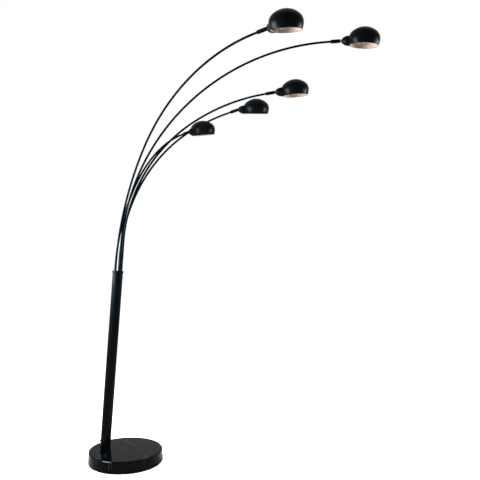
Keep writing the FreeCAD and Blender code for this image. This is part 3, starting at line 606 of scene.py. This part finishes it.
def makeArmTube(number, arm):
    socket = Vector(joints[f"arm_swivel_{number}"]["pos_m"])
    placing = placeAt(socket, leanAxis, heading(arm["azimuth"], 0), "Z")
    shape = bmesh.new()
    ring = bmesh.ops.create_circle(shape, cap_ends=True, radius=tube["radius"] * mm,
                                   segments=tube["sides"],
                                   matrix=Matrix.Translation((0, 0, -tube["stem"] * mm)))["verts"]
    ends = list({edge for vert in ring for edge in vert.link_edges})
    place = Vector((0, 0, -tube["stem"]))

    def run(edges, move):
        grown = bmesh.ops.extrude_edge_only(shape, edges=edges)["geom"]
        verts = [item for item in grown if isinstance(item, bmesh.types.BMVert)]
        bmesh.ops.translate(shape, vec=move * mm, verts=verts)
        return [item for item in grown if isinstance(item, bmesh.types.BMEdge)
                and all(vert in verts for vert in item.verts)]

    rise = Vector((0, 0, tube["stem"] + arm["straight"]))
    edges = run(ends, rise)
    place += rise
    turned = 0.0
    for radius, turn in ((arm["lowRadius"], arm["lowTurn"]), (arm["highRadius"], arm["highTurn"])):
        inward = Vector((math.cos(turned), 0, -math.sin(turned)))
        centre = place + inward * radius
        steps = max(4, round(turn / tube["turnStep"]))
        geom = list({vert for edge in edges for vert in edge.verts}) + edges
        last = bmesh.ops.spin(shape, geom=geom, cent=centre * mm, axis=(0, 1, 0), dvec=(0, 0, 0),
                              angle=math.radians(turn), steps=steps, use_merge=False,
                              use_duplicate=False)["geom_last"]
        edges = [item for item in last if isinstance(item, bmesh.types.BMEdge)]
        turned += math.radians(turn)
        place = centre - Vector((math.cos(turned), 0, -math.sin(turned))) * radius
    edges = run(edges, Vector((math.sin(turned), 0, math.cos(turned))) * tube["endRun"])
    bmesh.ops.edgeloop_fill(shape, edges=edges)
    addPiece(shape, f"armTube{number}", placing, f"arm_{number}", [finish["tube"]],
             [f"arm_tube_{number}"])


def endPlace(number):  # the ball's centre, with X along the arm's end
    joint = joints[f"head_twist_{number}"]
    return placeAt(Vector(joint["pos_m"]), Vector(joint["axis"]))


def makeSleeve(number):
    back = -sleeve["ballGap"] - sleeve["length"]
    ringBack = -sleeve["ballGap"] - sleeve["ringLength"]
    roomBack = ringBack - sleeve["flangeDepth"]
    seatEnd = back + sleeve["seatDepth"]
    shape = latheShape([
        (back, sleeve["seat"]), (back, sleeve["radius"]), (ringBack, sleeve["radius"]),
        (ringBack, sleeve["flangeRoom"]), (roomBack, sleeve["flangeRoom"]), (roomBack, leadBore),
        (seatEnd, leadBore), (seatEnd, sleeve["seat"]),
    ], "X", sleeve["sides"])
    roundEdges(shape, sleeve["edge"], 3)
    depth, width = sleeve["screwDepth"], sleeve["screwRadius"]
    screw = latheShape([(-depth, 0.0), (-depth, width), (1.0, width), (1.0, 0.0)], "Z", 24)
    spot = endPlace(number) @ Matrix.Translation(
        Vector((back + sleeve["screwBack"], 0, -sleeve["radius"])) * mm)
    addPiece(shape, f"armSleeve{number}", endPlace(number), f"arm_{number}",
             [finish["tube"]], [f"arm_sleeve_{number}"],
             cutters=[(screw, spot @ Matrix.Rotation(math.pi, 4, "X"), "DIFFERENCE")])
    start, end = ringBack + sleeve["split"], -sleeve["ringFront"]
    ring = latheShape([(start, sleeve["ringBore"]), (start, sleeve["radius"]), (end, sleeve["radius"]),
                       (end, sleeve["ringBore"])], "X", sleeve["sides"])
    roundEdges(ring, sleeve["ringEdge"], 3)
    addPiece(ring, f"sleeveRing{number}", endPlace(number), f"arm_{number}",
             [finish["fitting"]], [f"sleeve_ring_{number}"])


def makeBallStud(number):
    back, front = -stud["flangeBack"], -stud["flangeFront"]
    start = 180 - math.degrees(math.asin(stud["neck"] / stud["ball"]))
    end = math.degrees(math.asin(leadBore / stud["ball"]))
    shape = latheShape([
        (back, leadBore), (back, stud["flange"]), (front, stud["flange"]), (front, stud["shank"]),
        (-stud["coneBack"], stud["shank"]), (-stud["coneFront"], stud["neck"] + stud["coneTip"]),
    ] + arc((0, 0), stud["ball"], start, end, 28), "X", 56)
    addPiece(shape, f"ballStud{number}", endPlace(number), f"stud_{number}",
             [finish["fitting"]], [f"ball_stud_{number}"])


# The heads. Their frame has its origin at the ball, X along the cup and Z up the shade's axis.

dome = {
    "reach": 107.0, "radius": 75.0, "rise": 56.0, "shoulder": 45.0, "wall": 1.0,
    "rimRadius": 68.0, "rimDepth": 31.0, "rimDrop": 23.0, "bead": 0.9, "sides": 144, "hole": 14.0,
    "cutterFoot": 8.0,  # how far below the rim a cutter of the dome's shape goes on
}
cup = {
    "radius": 24.5, "nose": 32.0, "lipRadius": 7.0, "lipAngle": 60.0, "seat": 6.3, "wall": 3.0,
    "lip": ((0.0, 0.5), (-0.2, 0.8)), "lipEdge": 0.3,  # along and out from the seat's end
    "blockFront": 9.0, "blockEnd": 16.0, "tapped": 5.1, "hollowStart": 15.0, "hollowFull": 22.0,
    "gap": 0.25, "sides": 96,
}
holder = {
    "radius": 13.5, "back": 16.2, "end": 60.0, "bore": 7.4, "boreDepth": 24.0,
    "nipple": 5.0, "nippleTip": 9.2, "shoulder": 11.0, "taper": 2.5,
    "grooves": 6, "grooveStart": 44.0, "groovePitch": 2.4,
    "groove": ((0.0, 0.0), (0.6, 0.6), (1.2, 0.6), (1.8, 0.0)),  # along, depth
    "ringWidth": 4.5, "ringFront": 43.0, "ringGap": 0.1,
}
bulb = {
    "tip": 37.0, "baseEnd": 60.5, "neckRadius": 9.0, "neckEnd": 62.5,
    "centre": 92.0, "radius": 19.0, "wall": 0.7,
    "contact": ((0.0, 0.0), (0.3, 1.6), (1.0, 2.2), (1.0, 4.0), (3.3, 4.7), (3.3, 0.0)),  # from the tip
    "base": ((3.2, 0.0), (3.2, 4.6), (5.0, 6.3)),  # from the tip
    "turns": 5, "turnStart": 5.4, "turnPitch": 2.8,
    "thread": ((0.0, 6.3), (0.9, 6.9), (1.9, 6.9), (2.7, 6.3)),
    "stemFoot": ((0.0, 0.0), (0.0, 5.0), (4.0, 3.4)),  # from the neck's end
    "stemTop": ((-14.0, 1.8), (-11.0, 1.4), (-10.5, 0.0)),  # from the globe's centre
    "wire": 0.25, "wireFoot": (-11.0, 0.8),  # the foot from the centre, and off the axis
    "filament": 11.0, "filamentWire": 0.11, "coil": 0.5, "coilTurns": 16, "coilSteps": 192,
}

equator = dome["rimDepth"] - dome["rimDrop"]
shoulderX = dome["radius"] - dome["shoulder"]
crownRadius = ((shoulderX ** 2 + dome["rise"] ** 2 - dome["shoulder"] ** 2)
               / (2 * (dome["rise"] - dome["shoulder"])))
rimInset = dome["radius"] - dome["rimRadius"]
skirtRadius = (rimInset ** 2 + dome["rimDepth"] ** 2) / (2 * rimInset)


def headPlace(number, arm):  # the ball's centre, with X along the cup
    along = heading(arm["headAzimuth"], arm["headElevation"])
    level = heading(arm["headAzimuth"] + 90, 0)
    roll = math.radians(arm["headRoll"])
    up = along.cross(level) * math.cos(roll) + level * math.sin(roll)
    return placeAt(Vector(joints[f"head_tilt_{number}"]["pos_m"]), along, up)


def domePlace(number, arm):  # the middle of the dome, with Z up its axis
    return headPlace(number, arm) @ Matrix.Translation(Vector((dome["reach"], 0, 0)) * mm)


def domeOutline(offset, steps=1.0):
    # from the crown down to the rim as (height, radius), moved outward by offset
    meet = math.degrees(math.atan2(crownRadius - dome["rise"], shoulderX))
    skirt = skirtRadius + offset
    rimAngle = math.degrees(math.asin(dome["rimDepth"] / skirt))
    crown = arc((0, equator + dome["rise"] - crownRadius), crownRadius + offset, 90, meet,
                round(14 * steps))
    shoulder = arc((shoulderX, equator), dome["shoulder"] + offset, meet, 0, round(18 * steps))
    low = arc((dome["radius"] - skirtRadius, equator), skirt, 0, -rimAngle, round(10 * steps))
    return [(z, max(x, 0.0)) for x, z in crown + shoulder[1:] + low[1:]]


def domeCutter(offset):
    outline = domeOutline(offset, 1.5)
    foot, width = outline[-1]
    foot -= dome["cutterFoot"]
    return latheShape(outline + [(foot, width), (foot, 0.0)], "Z", dome["sides"] * 2)


def makeShade(number, arm):
    placing = domePlace(number, arm)
    outside = domeOutline(0.0)
    inside = domeOutline(-dome["wall"])
    rimZ, rimX = outside[-1]
    bead = arc((rimX - dome["wall"] / 2, rimZ + dome["bead"] * 0.3), dome["bead"], 35, -215, 10)
    outline = outside[:-1] + [(z, x) for x, z in bead] + inside[:-1][::-1]
    shape = latheShape(outline, "Z", dome["sides"])
    bmesh.ops.recalc_face_normals(shape, faces=shape.faces)
    for face in shape.faces:  # the inside, above the rim's bead, takes the lining
        centre = face.calc_center_median()
        if face.normal.dot(centre) < 0 and centre.z > (rimZ + dome["bead"]) * mm:
            face.material_index = 1
    back = -dome["radius"] - past
    hole = latheShape([(back, 0.0), (back, dome["hole"]), (-shoulderX, dome["hole"]),
                       (-shoulderX, 0.0)], "X", 48)
    addPiece(shape, f"shade{number}", placing, f"head_{number}",
             [finish["shade"], finish["lining"]], [f"shade_{number}"], 40.0,
             cutters=[(hole, placing, "DIFFERENCE")])


def makeCup(number, arm):
    lipX = -cup["seat"] * math.cos(math.radians(cup["lipAngle"]))
    lipY = cup["seat"] * math.sin(math.radians(cup["lipAngle"]))
    length = cup["nose"] - lipX
    rise = cup["radius"] - cup["lipRadius"]
    nose = (length ** 2 + rise ** 2) / (2 * rise)
    start = 90 + math.degrees(math.asin(length / nose))
    front = dome["reach"] - shoulderX
    inner = cup["radius"] - cup["wall"]
    seatStart = math.degrees(math.asin(leadBore / cup["seat"]))
    # the ball's seat, the rounded lip, the bullet's side, then back through the hollow
    outline = arc((0, 0), cup["seat"], seatStart, 180 - cup["lipAngle"], 12)
    outline += [(lipX + along, lipY + out) for along, out in cup["lip"]]
    outline.append((lipX, cup["lipRadius"] - cup["lipEdge"]))
    outline += arc((cup["nose"], cup["radius"] - nose), nose, start, 90, 24)
    outline += [
        (front, cup["radius"]), (front, inner), (cup["hollowFull"], inner),
        (cup["blockEnd"], cup["hollowStart"]), (cup["blockEnd"], cup["tapped"]),
        (cup["blockFront"], cup["tapped"]), (cup["blockFront"], leadBore),
    ]
    shape = latheShape(outline, "X", cup["sides"])
    addPiece(shape, f"socketCup{number}", headPlace(number, arm), f"head_{number}",
             [finish["shade"]], [f"socket_cup_{number}"], 40.0,
             cutters=[(domeCutter(cup["gap"]), domePlace(number, arm), "DIFFERENCE")])


def makeLampholder(number, arm):
    grooves = []
    for groove in range(holder["grooves"]):
        start = holder["grooveStart"] + groove * holder["groovePitch"]
        grooves += [(start + along, holder["radius"] - down) for along, down in holder["groove"]]
    tip, back, end = holder["nippleTip"], holder["back"], holder["end"]
    floor = end - holder["boreDepth"]
    shape = latheShape([
        (tip, leadBore), (tip, holder["nipple"]), (back, holder["nipple"]), (back, holder["shoulder"]),
        (back + holder["taper"], holder["radius"]),
    ] + grooves + [
        (end, holder["radius"]), (end, holder["bore"]), (floor, holder["bore"]), (floor, leadBore),
    ], "X", 64)
    addPiece(shape, f"lampholder{number}", headPlace(number, arm), f"head_{number}",
             [finish["plastic"]], [f"lampholder_{number}"], 25.0)


def makeShadeRing(number, arm):
    # clamps the dome against the cup, cut to the dome's inside
    inner = holder["radius"] + holder["ringGap"]
    outer = inner + holder["ringWidth"]
    back, front = dome["reach"] - dome["radius"], holder["ringFront"]
    shape = latheShape([(back, inner), (back, outer), (front, outer), (front, inner)], "X", 72)
    addPiece(shape, f"shadeRing{number}", headPlace(number, arm), f"head_{number}",
             [finish["plastic"]], [f"shade_ring_{number}"], 40.0,
             cutters=[(domeCutter(-dome["wall"] - cup["gap"]), domePlace(number, arm), "INTERSECT")])


def makeGlobe():
    across = bulb["neckEnd"] - bulb["centre"]
    shell = []
    for thickness in (0.0, bulb["wall"]):
        ball = bulb["radius"] - thickness
        neck = bulb["neckRadius"] - thickness
        reach = math.hypot(across, neck)
        touch = 180 - math.degrees(math.atan2(neck, -across) + math.acos(ball / reach))
        wall = [(bulb["neckEnd"], neck)] + arc((bulb["centre"], 0), ball, touch, 0, 36)
        shell += wall if thickness == 0.0 else wall[::-1]
    return latheShape(shell, "X", 72)


def makeScrewBase():
    tip, collar = bulb["tip"], bulb["neckEnd"] + 1.0
    outline = [(tip + along, radius) for along, radius in bulb["base"]]
    for turn in range(bulb["turns"]):
        start = tip + bulb["turnStart"] + turn * bulb["turnPitch"]
        outline += [(start + along, radius) for along, radius in bulb["thread"]]
    outline += [(bulb["baseEnd"] - 1.0, 6.5), (bulb["baseEnd"], 8.2), (collar, bulb["neckRadius"]),
                (collar, 0.0)]
    return latheShape(outline, "X", 56)


def makeFilament():
    side = bulb["filament"] / 2
    thread = bmesh.new()
    start = Matrix.Translation(Vector((bulb["centre"] + bulb["coil"], -side, 0)) * mm)
    ring = bmesh.ops.create_circle(thread, cap_ends=False, radius=bulb["filamentWire"] * mm, segments=6,
                                   matrix=start @ Matrix.Rotation(math.pi / 2, 4, "X"))["verts"]
    edges = list({edge for vert in ring for edge in vert.link_edges})
    steps = bulb["coilSteps"]
    bmesh.ops.spin(thread, geom=ring + edges, cent=(bulb["centre"] * mm, -side * mm, 0), axis=(0, 1, 0),
                   dvec=(0, bulb["filament"] * mm / steps, 0), angle=math.tau * bulb["coilTurns"],
                   steps=steps, use_merge=False, use_duplicate=False)
    return thread


def makeBulb(number, arm):
    # clear globe over a screw base, with its glass stem, two supports and the filament
    contact = latheShape([(bulb["tip"] + along, radius) for along, radius in bulb["contact"]], "X", 40)
    foot = [(bulb["neckEnd"] + along, radius) for along, radius in bulb["stemFoot"]]
    top = [(bulb["centre"] + along, radius) for along, radius in bulb["stemTop"]]
    stem = latheShape(foot + top, "X", 32)
    parts = [(makeGlobe(), 0), (makeScrewBase(), 1), (contact, 2), (stem, 0)]
    footBack, footSide = bulb["wireFoot"]
    for sign in (1, -1):
        start = Vector((bulb["centre"] + footBack, footSide * sign, 0))
        end = Vector((bulb["centre"], bulb["filament"] / 2 * sign, 0))
        support = bmesh.new()
        bmesh.ops.create_cone(support, cap_ends=True, segments=8, radius1=bulb["wire"] * mm,
                              radius2=bulb["wire"] * mm, depth=(end - start).length * mm,
                              matrix=placeAt((start + end) / 2 * mm, end - start, (0, 0, 1), "Z"))
        parts.append((support, 2))
    parts.append((makeFilament(), 2))
    addPiece(joinShapes(parts), f"bulb{number}", headPlace(number, arm), f"head_{number}",
             [finish["glass"], finish["brass"], finish["wire"]], [f"bulb_{number}"], 40.0,
             evenShading=False)


for number, arm in enumerate(arms, 1):
    makeArmTube(number, arm)
    makeSleeve(number)
    makeBallStud(number)
    makeCup(number, arm)
    makeShade(number, arm)
    makeLampholder(number, arm)
    makeShadeRing(number, arm)
    makeBulb(number, arm)
    print("arm", number, "made")


# The studio: a pale floor, an even white surround and soft lamps at both sides.

studio = {
    "surround": 0.4,  # plain level of the surround on the object
    "floorSize": 12.0, "floorLift": 0.7,
    "lamps": [  # name, place, aimed at, width, height, watts
        ("leftLamp", (-0.95, -0.3, 1.5), (0.7, -0.1, 1.75), 1.05, 1.15, 205.0),
        ("rightLamp", (2.8, 0.3, 1.5), (0.8, 0.0, 1.8), 1.1, 1.1, 125.0),
    ],
}


def makeFloor():
    # the floor reads white to the camera and still takes the lamp's soft shadow
    shape = bmesh.new()
    bmesh.ops.create_grid(shape, x_segments=1, y_segments=1, size=studio["floorSize"])
    paint = Paint("studioFloor")
    at = paint.coordinates()
    paint.set(BaseColor=paint.ramp(paint.noise(at, 1.0, 2.0), [(0.0, grey(0.88)), (1.0, grey(0.9))]))
    paint.set(Roughness=0.9)
    path = [paint.node("ShaderNodeLightPath", output=name)
            for name in ("Is Camera Ray", "Is Glossy Ray", "Is Transmission Ray")]
    glow = paint.node("ShaderNodeEmission", None, {"Strength": studio["floorLift"]})
    both = paint.node("ShaderNodeAddShader", None, {0: glow, 1: Wire(paint, paint.surface.outputs[0])})
    shown = paint.node("ShaderNodeMixShader", None,
                       {0: path[0].atLeast(path[1]).atLeast(path[2]),
                        1: Wire(paint, paint.surface.outputs[0]), 2: both})
    paint.feed(paint.tree.nodes["Material Output"].inputs["Surface"], shown)
    finishMesh("studioFloor", shape, None, "stage", [paint.material])


def makeWorld():
    world = bpy.data.worlds.new("studioWorld")
    world.use_nodes = True
    tree = world.node_tree
    background = tree.nodes["Background"]
    path = tree.nodes.new("ShaderNodeLightPath")
    seen = path.outputs["Is Camera Ray"]
    for name in ("Is Glossy Ray", "Is Transmission Ray"):
        either = tree.nodes.new("ShaderNodeMath")
        either.operation = "MAXIMUM"
        tree.links.new(seen, either.inputs[0])
        tree.links.new(path.outputs[name], either.inputs[1])
        seen = either.outputs[0]
    level = tree.nodes.new("ShaderNodeMapRange")
    level.inputs[3].default_value = studio["surround"]
    level.inputs[4].default_value = 1.0
    tree.links.new(seen, level.inputs[0])
    tree.links.new(level.outputs[0], background.inputs["Strength"])
    background.inputs["Color"].default_value = (1, 1, 1, 1)
    bpy.context.scene.world = world


def makeLamp(name, place, target, width, height, watts):
    lamp = bpy.data.lights.new(name, "AREA")
    lamp.shape = "RECTANGLE"
    lamp.size = width
    lamp.size_y = height
    lamp.energy = watts
    thing = bpy.data.objects.new(name, lamp)
    thing.rotation_euler = (Vector(target) - Vector(place)).to_track_quat("-Z", "Y").to_euler()
    thing.location = place
    thing.visible_camera = False
    bpy.context.scene.collection.objects.link(thing)


makeFloor()
makeWorld()
for lampSettings in studio["lamps"]:
    makeLamp(*lampSettings)

bpy.context.scene.view_settings.view_transform = "Standard"
print("scene ready")
